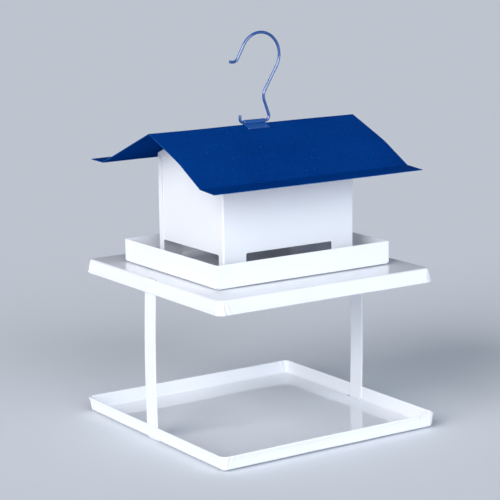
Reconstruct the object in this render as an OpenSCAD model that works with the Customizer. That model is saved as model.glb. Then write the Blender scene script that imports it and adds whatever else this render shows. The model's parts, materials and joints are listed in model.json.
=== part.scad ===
// Hanging bird feeder of folded sheet metal: a gabled seed hopper on a square
// platform, a fruit tray hung below it on two straps, and a wire hanger on a
// roof that slides off along its ridge.
// X runs along the ridge, Y across it, Z up. Z = 0 is the underside of the strap feet.

/* [Sheet] */
// Thickness of the white folded sheet
sheet_t = 0.8; // [0.6:0.1:1.0]
// Thickness of the blue roof sheet
roof_t = 0.8; // [0.6:0.1:1.0]

/* [Pans] */
// Side of the platform's flat top
platform_side = 298; // [280:0.5:320]
// Length of the fruit tray's flat bottom, along the ridge
fruit_len = 301; // [290:0.5:320]
// Depth of the fruit tray's flat bottom, across the ridge
fruit_dep = 309; // [280:0.5:330]
// Height of the pan rim
rim_h = 17.2; // [14:0.1:24]
// How far the rim leans outwards over its height
rim_flare = 1.5; // [1:0.1:3]
// Height of the hem folded outwards along the rim's free edge
hem_h = 3; // [2:0.5:4]
// Corner radius of the pan, at the fold
pan_corner_r = 6; // [4:0.5:10]
// Height of the platform's top face
platform_top = 195.2; // [150:0.1:240]

/* [Straps] */
// Width of a strap
strap_w = 24; // [18:0.5:28]
// Thickness of a strap
strap_t = 1.2; // [1:0.1:1.5]
// Width of the narrowed tab at the strap's upper end
tab_w = 19; // [14:0.5:20]
// Length of the tab folded down over the platform's rim
tab_drop = 10; // [6:0.5:12]
// Length of the foot folded under the fruit tray
foot_len = 12; // [8:1:20]
// How far the strap bows outwards between the pans
strap_bow = 1.5; // [0:0.5:5]

/* [Seed tray] */
// Length of the seed tray, along the ridge
tray_len = 244; // [220:1:260]
// Depth of the seed tray, across the ridge
tray_dep = 207.4; // [180:0.1:230]
// Height of the seed tray's walls
tray_h = 27.9; // [20:0.1:36]
// Thickness of the spacers that hold the seed tray off the platform
spacer_t = 1.0; // [1:0.1:3]
// Width of the lap flanges at the tray's corners
tray_lap = 10.5; // [8:0.5:14]

/* [Hopper] */
// Length of the hopper, along the ridge
hopper_len = 185; // [160:1:200]
// Depth of the hopper, across the ridge
hopper_dep = 142; // [120:1:160]
// Height of the hopper's long walls
hopper_h = 133.4; // [100:0.1:160]
// Length of the feed slot at the foot of each wall
slot_len = 122; // [80:1:124]
// Height of the feed slots
slot_h = 29; // [20:1:40]
// Width of the lap flanges at the two seams
hopper_lap = 9.5; // [8:0.5:12]

/* [Roof] */
// Length of the ridge
roof_len = 292; // [260:1:310]
// Angle of the roof's slopes below the horizontal
roof_angle = 22.3; // [18:0.1:28]
// Width of each slope, from the ridge to the eave fold
slope_len = 120; // [100:1:125]
// Width of the flared lip along each eave
lip_len = 29; // [20:1:34]
// Angle between a slope and its lip
lip_bend = 24; // [18:1:28]
// Distance from the ridge to the soft bend in the front slope
front_bend_at = 69.5; // [60:0.5:70]
// Angle of the soft bend in the front slope
front_bend = 6.3; // [0:0.1:8]
// Height of the gap between the gable ends and the roof
roof_gap = 4.5; // [4:0.1:8]

/* [Rails] */
// Length of the rails under the roof and of the flanges that they grip
rail_len = 120; // [80:1:140]
// Clearance between a rail and its flange
rail_play = 0.25; // [0.2:0.05:0.4]

/* [Hanger] */
// Diameter of the hanger wire
wire_d = 3.5; // [3:0.1:4]
// Height of the wire's axis above the ridge
wire_rise = 2.5; // [2.3:0.1:3]
// Length of the saddle that holds the wire
saddle_len = 30; // [24:1:30]
// Width of each saddle leg, down the slope
saddle_leg = 10.5; // [8:0.5:14]
// Inside radius of the hook at the top of the wire
hook_r = 25.25; // [20:0.25:30]

/* [Hidden] */
$fn = 48;

white = "white";
blue = "royalblue";
steel = "silver";

// Running clearance between parts that are folded round each other
fold_gap = 0.1;
// A length that surely passes through any sheet
through = 20;
// A ball joins each two stretches of wire: how far it stands proud, and the gap it bridges
knuckle = 0.04;
joint_gap = 0.1;

// Levels
tray_bottom = platform_top + spacer_t;
tray_floor = tray_bottom + sheet_t;
wall_top = tray_floor + hopper_h;
gable_top = wall_top + hopper_dep / 2 * tan(roof_angle);
ridge_top = gable_top + roof_gap + roof_t / cos(roof_angle);
wire_axis = ridge_top + wire_rise;

// Fasteners that clamp hopper, seed tray and platform together
screw_x = 78;
screw_y = 62;
screw_d = 4;
hole_d = 4.4;
head_d = 8;
head_h = 2.6;
screw_len = 11;
spacer_d = 12;
nut_washer_d = 9;
nut_washer_t = 0.8;
nut_af = 7;
nut_h = 3.2;
foot_x = 22;
foot_y = 15;

// Slots that the straps pass through, just inside the pans' rims
slot_w = 3.9;
top_slot_len = 23.2;
floor_slot_len = 28;

// Flange along the middle of each long wall's top edge
flange_w = 8;
lap_drop = 5;

// Lower edge of the lap flanges on the seed tray, and its corner relief holes
lap_lift = 3;
relief_r = 1.6;

// ---------------------------------------------------------------- helpers

function unit(v) = v / norm(v);
function left_of(v) = [-v[1], v[0]];
function seg_normal(p, i) = left_of(unit(p[i + 1] - p[i]));
// Mitred offset direction at point i of a path
function mitre(p, i) =
    i == 0 ? seg_normal(p, 0) :
    i == len(p) - 1 ? seg_normal(p, i - 1) :
    let (a = seg_normal(p, i - 1), b = seg_normal(p, i)) (a + b) / (1 + a * b);
// Outline of a strip of thickness t centred on a path
function ribbon(p, t) = concat(
    [for (i = [0 : len(p) - 1]) p[i] + mitre(p, i) * t / 2],
    [for (i = [len(p) - 1 : -1 : 0]) p[i] - mitre(p, i) * t / 2]);
// Outline of a strip whose given path is its upper face, when drawn from left to right
function below(p, t) = concat(
    p, [for (i = [len(p) - 1 : -1 : 0]) p[i] - mitre(p, i) * t]);

// Extrusion along X of an outline in the YZ plane, centred on X = 0
module along_x(length) {
    translate([-length / 2, 0, 0])
        rotate([90, 0, 90])
            linear_extrude(length)
                children();
}

// Extrusion along Y of an outline in the XZ plane, centred on Y = 0
module along_y(length) {
    translate([0, length / 2, 0])
        rotate([90, 0, 0])
            linear_extrude(length)
                children();
}

// One copy at each of the four clamp screws
module at_screws() {
    for (x = [-screw_x, screw_x])
        for (y = [-screw_y, screw_y])
            translate([x, y, 0])
                children();
}

// ---------------------------------------------------------------- pans

function rim_lean(z) = rim_flare * z / rim_h;

// Section through the edge of a pan: floor, rim and the hem along the rim's free
// edge. X runs outwards and is 0 at the fold.
module edge_section() {
    hem_z = rim_h - hem_h;
    polygon([[-pan_corner_r, 0], [0, 0], [rim_lean(hem_z), hem_z],
        [rim_lean(hem_z) + sheet_t, hem_z], [rim_flare + sheet_t, rim_h],
        [rim_flare - sheet_t, rim_h], [rim_lean(sheet_t) - sheet_t, sheet_t],
        [-pan_corner_r, sheet_t]]);
}

// Edge along a side of a pan and the corner at that side's end. The corner lies
// at +X +Y; the side runs along Y.
module pan_edge(half_x, half_y) {
    straight_x = half_x - pan_corner_r;
    straight_y = half_y - pan_corner_r;
    translate([half_x, 0, 0])
        along_y(2 * straight_y)
            edge_section();
    translate([straight_x, straight_y, 0])
        rotate_extrude(angle = 90)
            translate([pan_corner_r, 0])
                edge_section();
}

// A pan with its floor on Z = 0, its rim up and a strap slot near both ends
module pan(size_x, size_y, slot) {
    flat_x = size_x - 2 * pan_corner_r;
    flat_y = size_y - 2 * pan_corner_r;
    difference() {
        union() {
            translate([-flat_x / 2, -flat_y / 2, 0])
                cube([flat_x, flat_y, sheet_t]);
            for (turn = [0, 180]) {
                rotate(turn)
                    pan_edge(size_x / 2, size_y / 2);
                rotate(turn + 90)
                    pan_edge(size_y / 2, size_x / 2);
            }
        }
        for (turn = [0, 180])
            rotate(turn)
                translate([size_x / 2 - sheet_t - slot_w, -slot / 2, -through / 2])
                    cube([slot_w, slot, through]);
    }
}

module fruit_tray() {
    color(white)
        translate([0, 0, strap_t])
            pan(fruit_len, fruit_dep, floor_slot_len);
}

module platform() {
    color(white)
        difference() {
            translate([0, 0, platform_top])
                rotate([180, 0, 0])
                    pan(platform_side, platform_side, top_slot_len);
            at_screws()
                translate([0, 0, platform_top - through / 2])
                    cylinder(d = hole_d, h = through);
        }
}

// ---------------------------------------------------------------- straps

// Centre of a strap that lies against the inside of a rim, at the rim's fold
function inside_of(pan_len) = pan_len / 2 - sheet_t - fold_gap - strap_t / 2;

// Path of the strap's centre in the XZ plane, from its foot to below the platform
function strap_path() =
    let (low = inside_of(fruit_len),
        high = inside_of(platform_side),
        rim_top = strap_t + rim_h,
        rim_low = platform_top - rim_h,
        steps = 14)
    concat(
        [[low - foot_len, strap_t / 2], [low, strap_t / 2]],
        [for (i = [0 : steps])
            let (z = rim_top + (rim_low - rim_top) * i / steps,
                x = low + (high - low) * i / steps)
            [x + rim_flare + strap_bow * sin(180 * i / steps), z]],
        [[high, platform_top - sheet_t]]);

// Path of the tab's centre, up through the slot and down over the rim
function tab_path() =
    let (inside = inside_of(platform_side),
        outside = platform_side / 2 + fold_gap + strap_t / 2,
        over = platform_top + fold_gap + strap_t / 2,
        start = platform_top - tab_drop)
    [[inside + rim_lean(tab_drop), start], [inside, platform_top], [inside, over],
        [outside, over], [outside, platform_top], [outside + rim_lean(tab_drop), start]];

module strap() {
    along_y(strap_w)
        polygon(ribbon(strap_path(), strap_t));
    along_y(tab_w)
        polygon(ribbon(tab_path(), strap_t));
}

module strap_right() {
    color(white)
        strap();
}

module strap_left() {
    color(white)
        rotate(180)
            strap();
}

// ---------------------------------------------------------------- seed tray

// Half of the tray's walls: the long wall at +Y, the end wall at -X and their laps.
// The other half is the same, turned half round.
module tray_half() {
    // Long wall, lapped round the outside of the end wall
    translate([-tray_len / 2 - sheet_t, tray_dep / 2 - sheet_t, 0])
        cube([tray_len + sheet_t, sheet_t, tray_h]);
    translate([-tray_len / 2 - sheet_t, tray_dep / 2 - tray_lap, lap_lift])
        cube([sheet_t, tray_lap, tray_h - lap_lift]);
    // End wall, lapped inside the other long wall
    translate([-tray_len / 2, -tray_dep / 2, 0])
        cube([sheet_t, tray_dep, tray_h]);
    translate([-tray_len / 2, -tray_dep / 2 + sheet_t, lap_lift])
        cube([tray_lap, sheet_t, tray_h - lap_lift]);
}

module seed_tray() {
    color(white)
        translate([0, 0, tray_bottom])
            difference() {
                union() {
                    translate([-tray_len / 2, -tray_dep / 2, 0])
                        cube([tray_len, tray_dep, sheet_t]);
                    tray_half();
                    rotate(180)
                        tray_half();
                }
                for (x = [-tray_len / 2, tray_len / 2])
                    for (y = [-tray_dep / 2, tray_dep / 2])
                        translate([x, y, -through / 2])
                            cylinder(r = relief_r, h = through / 2 + lap_lift);
                at_screws()
                    translate([0, 0, -through / 2])
                        cylinder(d = hole_d, h = through);
            }
}

// ---------------------------------------------------------------- hopper

// Height of the gable's sloping edge, and of the flanges' upper face, at distance y
function edge_z(y) = wall_top + (hopper_dep / 2 - abs(y)) * tan(roof_angle);

// Notch for a feed slot, on the YZ or XZ plane
module feed_notch() {
    translate([-slot_len / 2, tray_floor - through])
        square([slot_len, slot_h + through]);
}

// One L of folded sheet: the long wall at -Y and the gable end at -X
module hopper_half() {
    half_len = hopper_len / 2;
    half_dep = hopper_dep / 2;
    free_y = half_dep - sheet_t - fold_gap;
    // Gable end
    translate([-half_len + sheet_t / 2, 0, 0])
        along_x(sheet_t)
            difference() {
                polygon([[-half_dep, tray_floor], [free_y, tray_floor],
                    [free_y, edge_z(free_y)], [0, gable_top], [-half_dep, wall_top]]);
                feed_notch();
            }
    // Long wall, reaching past the other half's gable end
    translate([0, -half_dep + sheet_t / 2, 0])
        along_y(sheet_t)
            difference() {
                translate([-half_len, tray_floor])
                    square([hopper_len + sheet_t, hopper_h]);
                feed_notch();
            }
    // Lap flange on the outside of the other half's gable end
    translate([half_len, -half_dep, tray_floor])
        cube([sheet_t, hopper_lap, hopper_h - lap_drop]);
    // Flange along the top edge, which the roof rail grips
    along_x(rail_len)
        polygon(below([[-half_dep - flange_w, edge_z(half_dep + flange_w)],
            [-half_dep + sheet_t, edge_z(half_dep - sheet_t)]], sheet_t));
    // Feet folded inwards at both ends of the long wall
    for (x = [-screw_x, screw_x])
        difference() {
            translate([x - foot_x / 2, -half_dep, tray_floor])
                cube([foot_x, foot_y, sheet_t]);
            translate([x, -screw_y, tray_floor - through / 2])
                cylinder(d = hole_d, h = through);
        }
}

module hopper_half_front() {
    color(white)
        hopper_half();
}

module hopper_half_back() {
    color(white)
        rotate(180)
            hopper_half();
}

// ---------------------------------------------------------------- roof

// Point at distance d down a line that starts at p and falls at the given angle
function down(p, d, angle) = p + d * [cos(angle), -sin(angle)];

ridge = [0, ridge_top];
front_angle = roof_angle + front_bend;
back_fold = down(ridge, slope_len, roof_angle);
back_tip = down(back_fold, lip_len, roof_angle - lip_bend);
// Points of the front half: distance in front of the ridge, and height
front_knee = down(ridge, front_bend_at, roof_angle);
front_fold = down(front_knee, slope_len - front_bend_at, front_angle);
front_tip = down(front_fold, lip_len, front_angle - lip_bend);

function to_front(p) = [-p[0], p[1]];

// Saddle legs dive through slits at this distance down the slope
slit_at = saddle_leg;
slit_w = 1.6;

// Children placed on a slope's upper face: X down the slope, Y up from it
module on_slope(side) {
    mirror([side < 0 ? 1 : 0, 0])
        translate(ridge)
            rotate(-roof_angle)
                children();
}

module roof_sheet() {
    color(blue)
        difference() {
            along_x(roof_len)
                polygon(below([to_front(front_tip), to_front(front_fold),
                    to_front(front_knee), ridge, back_fold, back_tip], roof_t));
            along_x(saddle_len + 1)
                for (side = [-1, 1])
                    on_slope(side)
                        translate([slit_at, -through / 2])
                            square([slit_w, through]);
        }
}

// Height of the roof's underside at distance y behind (side 1) or in front (side -1)
function soffit_z(y, side) =
    side > 0 || y < front_knee[0]
        ? ridge_top - roof_t / cos(roof_angle) - y * tan(roof_angle)
        : front_knee[1] - roof_t / cos(front_angle)
            - (y - front_knee[0]) * tan(front_angle);

// Rail section on the +Y side: weld flange, riser, ceiling, web and gripping lip
function rail_path(side) =
    let (weld_in = hopper_dep / 2 - 5.5,
        weld_out = hopper_dep / 2 - 0.5,
        web = hopper_dep / 2 + flange_w + 1.2,
        lip_in = hopper_dep / 2 + 3,
        high = rail_play + sheet_t / 2,
        low = -(sheet_t + rail_play + sheet_t / 2) / cos(roof_angle),
        weld = sheet_t / 2 / cos(front_angle))
    [[weld_in, soffit_z(weld_in, side) - weld], [weld_out, soffit_z(weld_out, side) - weld],
        [weld_out, edge_z(weld_out) + high], [web, edge_z(web) + high],
        [web, edge_z(web) + low], [lip_in, edge_z(lip_in) + low]];

module roof_rail(side) {
    along_x(rail_len)
        mirror([side < 0 ? 1 : 0, 0])
            polygon(ribbon(rail_path(side), sheet_t));
}

module roof_rail_front() {
    color(blue)
        roof_rail(-1);
}

module roof_rail_back() {
    color(blue)
        roof_rail(1);
}

// ---------------------------------------------------------------- hanger

saddle_t = 1;
saddle_bore = wire_d / 2 + 0.06;
saddle_mouth = 1;
clinch = 7;

// Point at distance s down the back slope and n above its upper face
function slope_point(s, n) =
    ridge + s * [cos(roof_angle), -sin(roof_angle)] + n * [sin(roof_angle), cos(roof_angle)];

// Back half of the saddle's outline: mouth, leg, clinched foot and back to the sleeve
saddle_side = [
    slope_point(saddle_mouth / 2, 0),
    slope_point(slit_at, 0),
    slope_point(slit_at, -roof_t - saddle_t),
    slope_point(slit_at + clinch, -roof_t - saddle_t),
    slope_point(slit_at + clinch, -roof_t),
    slope_point(slit_at + saddle_t, -roof_t),
    slope_point(slit_at + saddle_t, saddle_t)];

module hook_saddle() {
    sleeve_r = saddle_bore + saddle_t;
    // Direction, seen from the wire, of the line where sleeve and leg meet
    meet = asin((saddle_t - wire_rise * cos(roof_angle)) / sleeve_r) - roof_angle;
    steps = 24;
    sleeve = [for (i = [0 : steps])
        let (a = meet + (180 - 2 * meet) * i / steps)
        [sleeve_r * cos(a), wire_axis + sleeve_r * sin(a)]];
    front_side = [for (i = [len(saddle_side) - 1 : -1 : 0]) to_front(saddle_side[i])];
    color(blue)
        along_x(saddle_len)
            difference() {
                polygon(concat(saddle_side, sleeve, front_side));
                translate([0, wire_axis])
                    circle(saddle_bore);
                // The sleeve is open underneath, over the roof's ridge
                translate([-saddle_mouth, ridge_top - saddle_t])
                    square([2 * saddle_mouth, saddle_t + wire_rise]);
            }
}

// Bent wire in the XY plane: each step is a straight length, then a bend of the
// given radius through the given angle, positive to the left
module bent_wire(steps, i = 0) {
    run = steps[i][0];
    bend_r = steps[i][1];
    turn = steps[i][2];
    side = turn < 0 ? -1 : 1;
    start = i > 0 ? joint_gap : 0;
    translate([start, 0, 0])
        rotate([0, 90, 0])
            cylinder(d = wire_d, h = run - start);
    if (i > 0)
        sphere(wire_d / 2 + knuckle);
    if (bend_r > 0)
        translate([run, side * bend_r, 0])
            mirror([0, side < 0 ? 1 : 0, 0])
                rotate(-90)
                    rotate_extrude(angle = abs(turn))
                        translate([bend_r, 0])
                            circle(d = wire_d);
    if (i + 1 < len(steps))
        translate([run + bend_r * sin(abs(turn)), side * bend_r * (1 - cos(turn)), 0])
            rotate(turn)
                bent_wire(steps, i + 1);
}

module hook_wire() {
    stub_r = 4.5;
    knee_r = 5.5;
    waist_r = 14.5;
    curl_r = 8;
    reach = 15.9;
    stub = 4.3;
    color(blue)
        translate([-reach - stub_r, 0, wire_axis + stub_r + stub])
            rotate([90, 0, 0])
                rotate(-90)
                    bent_wire([[stub, stub_r, 90],
                        [2 * reach - 0.5, knee_r, 110],
                        [18, waist_r, -52],
                        [32, hook_r + wire_d / 2, 182],
                        [18, curl_r, -75],
                        [2.5, 0, 0]]);
}

// ---------------------------------------------------------------- fasteners

module clamp_screws() {
    color(steel)
        at_screws()
            translate([0, 0, tray_floor + sheet_t]) {
                cylinder(d = head_d, h = head_h);
                translate([0, 0, -screw_len])
                    cylinder(d = screw_d, h = screw_len);
            }
}

module tray_spacers() {
    color(white)
        at_screws()
            translate([0, 0, platform_top])
                difference() {
                    cylinder(d = spacer_d, h = spacer_t);
                    translate([0, 0, -1])
                        cylinder(d = hole_d, h = spacer_t + 2);
                }
}

module nut_washers() {
    color(steel)
        at_screws()
            translate([0, 0, platform_top - sheet_t - nut_washer_t])
                difference() {
                    cylinder(d = nut_washer_d, h = nut_washer_t);
                    translate([0, 0, -1])
                        cylinder(d = hole_d, h = nut_washer_t + 2);
                }
}

module clamp_nuts() {
    color(steel)
        at_screws()
            translate([0, 0, platform_top - sheet_t - nut_washer_t - nut_h])
                difference() {
                    cylinder(d = nut_af / cos(30), h = nut_h, $fn = 6);
                    translate([0, 0, -1])
                        cylinder(d = screw_d + 0.1, h = nut_h + 2);
                }
}

// ---------------------------------------------------------------- nodes

hook_wire();
hook_saddle();
roof_sheet();
roof_rail_front();
roof_rail_back();
hopper_half_front();
hopper_half_back();
seed_tray();
platform();
strap_left();
strap_right();
fruit_tray();
clamp_screws();
tray_spacers();
nut_washers();
clamp_nuts();
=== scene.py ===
"""Looks of a hanging bird feeder of folded, painted sheet metal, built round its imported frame.

Lengths are in millimetres unless a name says otherwise, and each mesh is scaled to metres when
its piece is made. X runs along the roof's ridge, -Y is the front and +Z is up.
"""
import json
import math

import bmesh
import bpy
from mathutils import Matrix, Vector, noise

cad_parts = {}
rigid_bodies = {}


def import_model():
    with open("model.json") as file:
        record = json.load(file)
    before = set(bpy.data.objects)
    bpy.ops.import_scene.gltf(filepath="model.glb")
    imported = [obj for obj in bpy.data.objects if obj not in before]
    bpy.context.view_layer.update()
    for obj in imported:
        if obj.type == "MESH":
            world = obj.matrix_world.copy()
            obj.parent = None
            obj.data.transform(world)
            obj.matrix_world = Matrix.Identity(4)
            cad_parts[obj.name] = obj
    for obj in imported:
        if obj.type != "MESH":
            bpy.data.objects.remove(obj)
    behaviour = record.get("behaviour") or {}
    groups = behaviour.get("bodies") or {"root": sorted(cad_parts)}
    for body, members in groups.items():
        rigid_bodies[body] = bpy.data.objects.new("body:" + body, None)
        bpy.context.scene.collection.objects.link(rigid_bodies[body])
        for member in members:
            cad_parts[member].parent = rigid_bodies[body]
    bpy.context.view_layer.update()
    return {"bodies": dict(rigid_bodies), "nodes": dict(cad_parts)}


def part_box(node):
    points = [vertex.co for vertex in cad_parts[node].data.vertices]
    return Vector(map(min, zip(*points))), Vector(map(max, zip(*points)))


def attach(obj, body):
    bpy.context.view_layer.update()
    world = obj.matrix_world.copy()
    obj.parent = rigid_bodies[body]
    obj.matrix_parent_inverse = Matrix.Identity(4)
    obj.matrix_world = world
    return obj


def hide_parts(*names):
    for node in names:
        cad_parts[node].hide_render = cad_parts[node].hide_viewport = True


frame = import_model()

MM = 0.001
SHEET = 0.8
ARC_STEP = math.radians(10)
NEAR = 0.01  # Points closer than this along an axis count as the same
WELD_GAP = 0.02


# ------------------------------------------------------------------ frame

def span(node):
    """Lowest and highest corner of a CAD node, in millimetres."""
    low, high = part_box(node)
    return low / MM, high / MM


tray_low, tray_high = span("fruit_tray")
deck_low, deck_high = span("platform")
seed_low, seed_high = span("seed_tray")
wall_low, wall_high = span("hopper_half_front")
roof_high = span("roof_sheet")[1]
strap_low = span("strap_right")[0]
wire_low = span("hook_wire")[0]

ROOF_SLOPE = math.radians(22.3)
WIRE_RADIUS = 1.75
WIRE_KNUCKLE = 0.04  # The CAD wire's joints stand out by this much
hopper_x = -wall_low.x
hopper_y = 71.0
wall_foot = wall_low.z
wall_top = wall_high.z - hopper_y * math.tan(ROOF_SLOPE)
wire_axis = wire_low.z + WIRE_RADIUS + WIRE_KNUCKLE


# ------------------------------------------------------------------ helpers

def smooth(value, low, high):
    """0 below low, 1 above high, and a soft step between."""
    t = min(1, max(0, (value - low) / (high - low)))
    return t * t * (3 - 2 * t)


def stops(*marks, step=12.0):
    """Values through all the marks, with even steps of at most step between them."""
    marks = sorted(set(marks))
    values = marks[:1]
    for a, b in zip(marks, marks[1:]):
        count = math.ceil((b - a) / step)
        values += [a + (b - a) * i / count for i in range(1, count + 1)]
    return values


def arc(centre, start, turn):
    """Points of an arc that turns from start about centre, both ends included."""
    count = max(2, math.ceil(abs(turn) / ARC_STEP))
    arm = Vector(start) - Vector(centre)
    return [Vector(centre) + Matrix.Rotation(turn * i / count, 2) @ arm for i in range(count + 1)]


def rounded(points, radii):
    """The polyline through 2-D points, with an arc of the given radius at each inner point."""
    points = [Vector(p) for p in points]
    path = points[:1]
    for before, corner, after, radius in zip(points, points[1:], points[2:], radii):
        to_before = (before - corner).normalized()
        to_after = (after - corner).normalized()
        half = to_before.angle(to_after) / 2
        start = corner + to_before * radius / math.tan(half)
        centre = corner + (to_before + to_after).normalized() * radius / math.sin(half)
        side = 1 if to_before.cross(to_after) < 0 else -1
        path += arc(centre, start, side * (math.pi - 2 * half))
    return path + points[-1:]


def split(path, axis, marks):
    """The path with a point added wherever its coordinate crosses one of the marks."""
    marked = path[:1]
    for a, b in zip(path, path[1:]):
        low, high = sorted((a[axis], b[axis]))
        inside = [m for m in marks if low + NEAR < m < high - NEAR]
        for m in sorted(inside, reverse=b[axis] < a[axis]):
            marked.append(a.lerp(b, (m - a[axis]) / (b[axis] - a[axis])))
        marked.append(b)
    return marked


def refine(path, step):
    """The path with points added so that none of its stretches is longer than step."""
    fine = path[:1]
    for a, b in zip(path, path[1:]):
        count = math.ceil((b - a).length / step)
        fine += [a.lerp(b, i / count) for i in range(1, count + 1)]
    return fine


def add_grid(bm, rows, columns, point, keep=None):
    """Adds quads with a vertex at point(row, column); keep(i, j) says which cells stay."""
    verts = [[bm.verts.new(point(r, c)) for c in columns] for r in rows]
    for i in range(len(rows) - 1):
        for j in range(len(columns) - 1):
            if keep is None or keep(i, j):
                bm.faces.new((verts[i][j], verts[i][j + 1], verts[i + 1][j + 1], verts[i + 1][j]))


def add_rings(bm, rings, closed=False):
    """Joins rings of points, all with the same count, into a skin, with end caps if closed."""
    verts = [[bm.verts.new(p) for p in ring] for ring in rings]
    for lower, upper in zip(verts, verts[1:]):
        for k in range(len(lower)):
            n = (k + 1) % len(lower)
            bm.faces.new((lower[k], lower[n], upper[n], upper[k]))
    if closed:
        bm.faces.new(reversed(verts[0]))
        bm.faces.new(verts[-1])


def add_fillet(bm, corner, toward_a, toward_b, radius):
    """Rounds an inner corner of a cut-out: a fan between the corner and a concave arc.

    The sheet that it joins has a vertex halfway along the fan's side towards a, so the fan has one.
    """
    corner = Vector(corner)
    a = Vector(toward_a) * radius
    b = Vector(toward_b) * radius
    count = 5
    hub = bm.verts.new(corner)
    rim = []
    for i in range(count + 1):
        angle = math.pi / 2 * i / count
        rim.append(bm.verts.new(corner + a + b - math.sin(angle) * a - math.cos(angle) * b))
    bm.faces.new((hub, bm.verts.new(corner + a / 2), rim[0], rim[1]))
    for first, second in zip(rim[1:], rim[2:]):
        bm.faces.new((hub, first, second))


def verts_of(geometry):
    """The vertices among mixed mesh elements."""
    return [g for g in geometry if isinstance(g, bmesh.types.BMVert)]


def spin(bm, verts, angle):
    """Turns vertices about the Z axis."""
    bmesh.ops.rotate(bm, verts=verts, cent=(0, 0, 0), matrix=Matrix.Rotation(angle, 3, "Z"))


def add_turned_copy(bm):
    """Adds a copy of everything in the mesh, turned half round about the Z axis."""
    copy = bmesh.ops.duplicate(bm, geom=bm.verts[:] + bm.edges[:] + bm.faces[:])["geom"]
    spin(bm, verts_of(copy), math.pi)


def weld(bm):
    """Joins patches that meet and turns all faces the same way."""
    bmesh.ops.remove_doubles(bm, verts=bm.verts, dist=WELD_GAP)
    bmesh.ops.delete(bm, geom=[v for v in bm.verts if not v.link_faces], context="VERTS")
    bmesh.ops.recalc_face_normals(bm, faces=bm.faces)


def unevenness(bm, seed, height, size):
    """Bends a flat sheet by up to height, in soft waves of about the given size."""
    bm.normal_update()
    shift = Vector((seed * 17.3, seed * -9.1, seed * 4.7))
    moves = [(v, v.normal * noise.noise(v.co / size + shift) * height) for v in bm.verts]
    for v, move in moves:
        v.co += move


def new_piece(name, bm, body, node, materials):
    """A mesh piece in metres that rides on a body and stands for a CAD node."""
    mesh = bpy.data.meshes.new(name)
    bm.to_mesh(mesh)
    bm.free()
    mesh.transform(Matrix.Scale(MM, 4))
    mesh.shade_smooth()
    for material in materials:
        mesh.materials.append(material)
    piece = bpy.data.objects.new(name, mesh)
    bpy.context.scene.collection.objects.link(piece)
    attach(piece, body)
    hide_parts(node)
    return piece


def flat_shading(piece):
    """Keeps a piece's flat faces flat beside its rounded edges."""
    normals = piece.modifiers.new("Normals", "WEIGHTED_NORMAL")
    normals.keep_sharp = True


def sheet_piece(name, bm, thickness, edge, body, node, materials):
    """A sheet of metal made from the surface that runs midway through its thickness.

    edge is the width of the rounding along its cut edges. materials are those of its upper side,
    its cut edges and, where there is a third, its lower side.
    """
    weight = bm.edges.layers.float.new("bevel_weight_edge")
    for mesh_edge in bm.edges:
        mesh_edge[weight] = float(mesh_edge.is_boundary)
    piece = new_piece(name, bm, body, node, materials)
    shell = piece.modifiers.new("Thickness", "SOLIDIFY")
    shell.thickness = thickness * MM
    shell.offset = 0
    shell.use_even_offset = True
    shell.material_offset_rim = 1
    if len(materials) > 2:
        shell.material_offset = 2
    bevel = piece.modifiers.new("Edges", "BEVEL")
    bevel.width = edge * MM
    bevel.segments = 2
    bevel.limit_method = "WEIGHT"
    bevel.use_clamp_overlap = False
    flat_shading(piece)
    return piece


# ------------------------------------------------------------------ materials

DUST = (0.52, 0.50, 0.47)
WORN_WHITE = (0.62, 0.63, 0.66)
SPECKLE_BLUE = (0.002, 0.075, 0.30)
CHIP_BLUE = (0.01, 0.17, 0.40)
SCUFF_BLUE = (0.02, 0.16, 0.36)
# Lighter blue painted on the cut edges of blue sheets: a painted highlight for the bright line that
# light makes along them
EDGE_HIGHLIGHT_BLUE = (0.02, 0.17, 0.46)


def new_material(name):
    """A material with its shader and a mapping of the object's own coordinates in metres."""
    material = bpy.data.materials.new(name)
    material.use_nodes = True
    nodes = material.node_tree.nodes
    return material, nodes, material.node_tree.links, nodes["Principled BSDF"], nodes.new(
        "ShaderNodeTexCoord").outputs["Object"]


def noise_node(nodes, links, place, scale, detail=3.0, roughness=0.5):
    """A noise pattern with the given number of features per metre."""
    node = nodes.new("ShaderNodeTexNoise")
    node.inputs["Scale"].default_value = scale
    node.inputs["Detail"].default_value = detail
    node.inputs["Roughness"].default_value = roughness
    links.new(place, node.inputs["Vector"])
    return node.outputs["Fac"]


def ramp_node(nodes, links, value, low, high, colour_low, colour_high):
    """Maps a value between low and high to a colour between two colours."""
    node = nodes.new("ShaderNodeValToRGB")
    node.color_ramp.elements[0].position = low
    node.color_ramp.elements[1].position = high
    node.color_ramp.elements[0].color = (*colour_low, 1)
    node.color_ramp.elements[1].color = (*colour_high, 1)
    links.new(value, node.inputs["Fac"])
    return node.outputs["Color"]


def range_node(nodes, links, value, low, high, to_low, to_high):
    """Maps a value between low and high to a number between to_low and to_high."""
    node = nodes.new("ShaderNodeMapRange")
    node.inputs["From Min"].default_value = low
    node.inputs["From Max"].default_value = high
    node.inputs["To Min"].default_value = to_low
    node.inputs["To Max"].default_value = to_high
    links.new(value, node.inputs["Value"])
    return node.outputs["Result"]


def mix_node(nodes, links, share, first, second):
    """Mixes two colours by a share from 0 to 1."""
    node = nodes.new("ShaderNodeMix")
    node.data_type = "RGBA"
    links.new(share, node.inputs["Factor"])
    for socket, colour in ((node.inputs["A"], first), (node.inputs["B"], second)):
        if isinstance(colour, tuple):
            socket.default_value = (*colour, 1)
        else:
            links.new(colour, socket)
    return node.outputs["Result"]


def stretched(nodes, links, place, scale):
    """The coordinates scaled by a different factor along each axis."""
    node = nodes.new("ShaderNodeMapping")
    node.inputs["Scale"].default_value = scale
    links.new(place, node.inputs["Vector"])
    return node.outputs["Vector"]


def product(nodes, links, first, second):
    """Multiplies two values."""
    node = nodes.new("ShaderNodeMath")
    node.operation = "MULTIPLY"
    links.new(first, node.inputs[0])
    links.new(second, node.inputs[1])
    return node.outputs["Value"]


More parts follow.
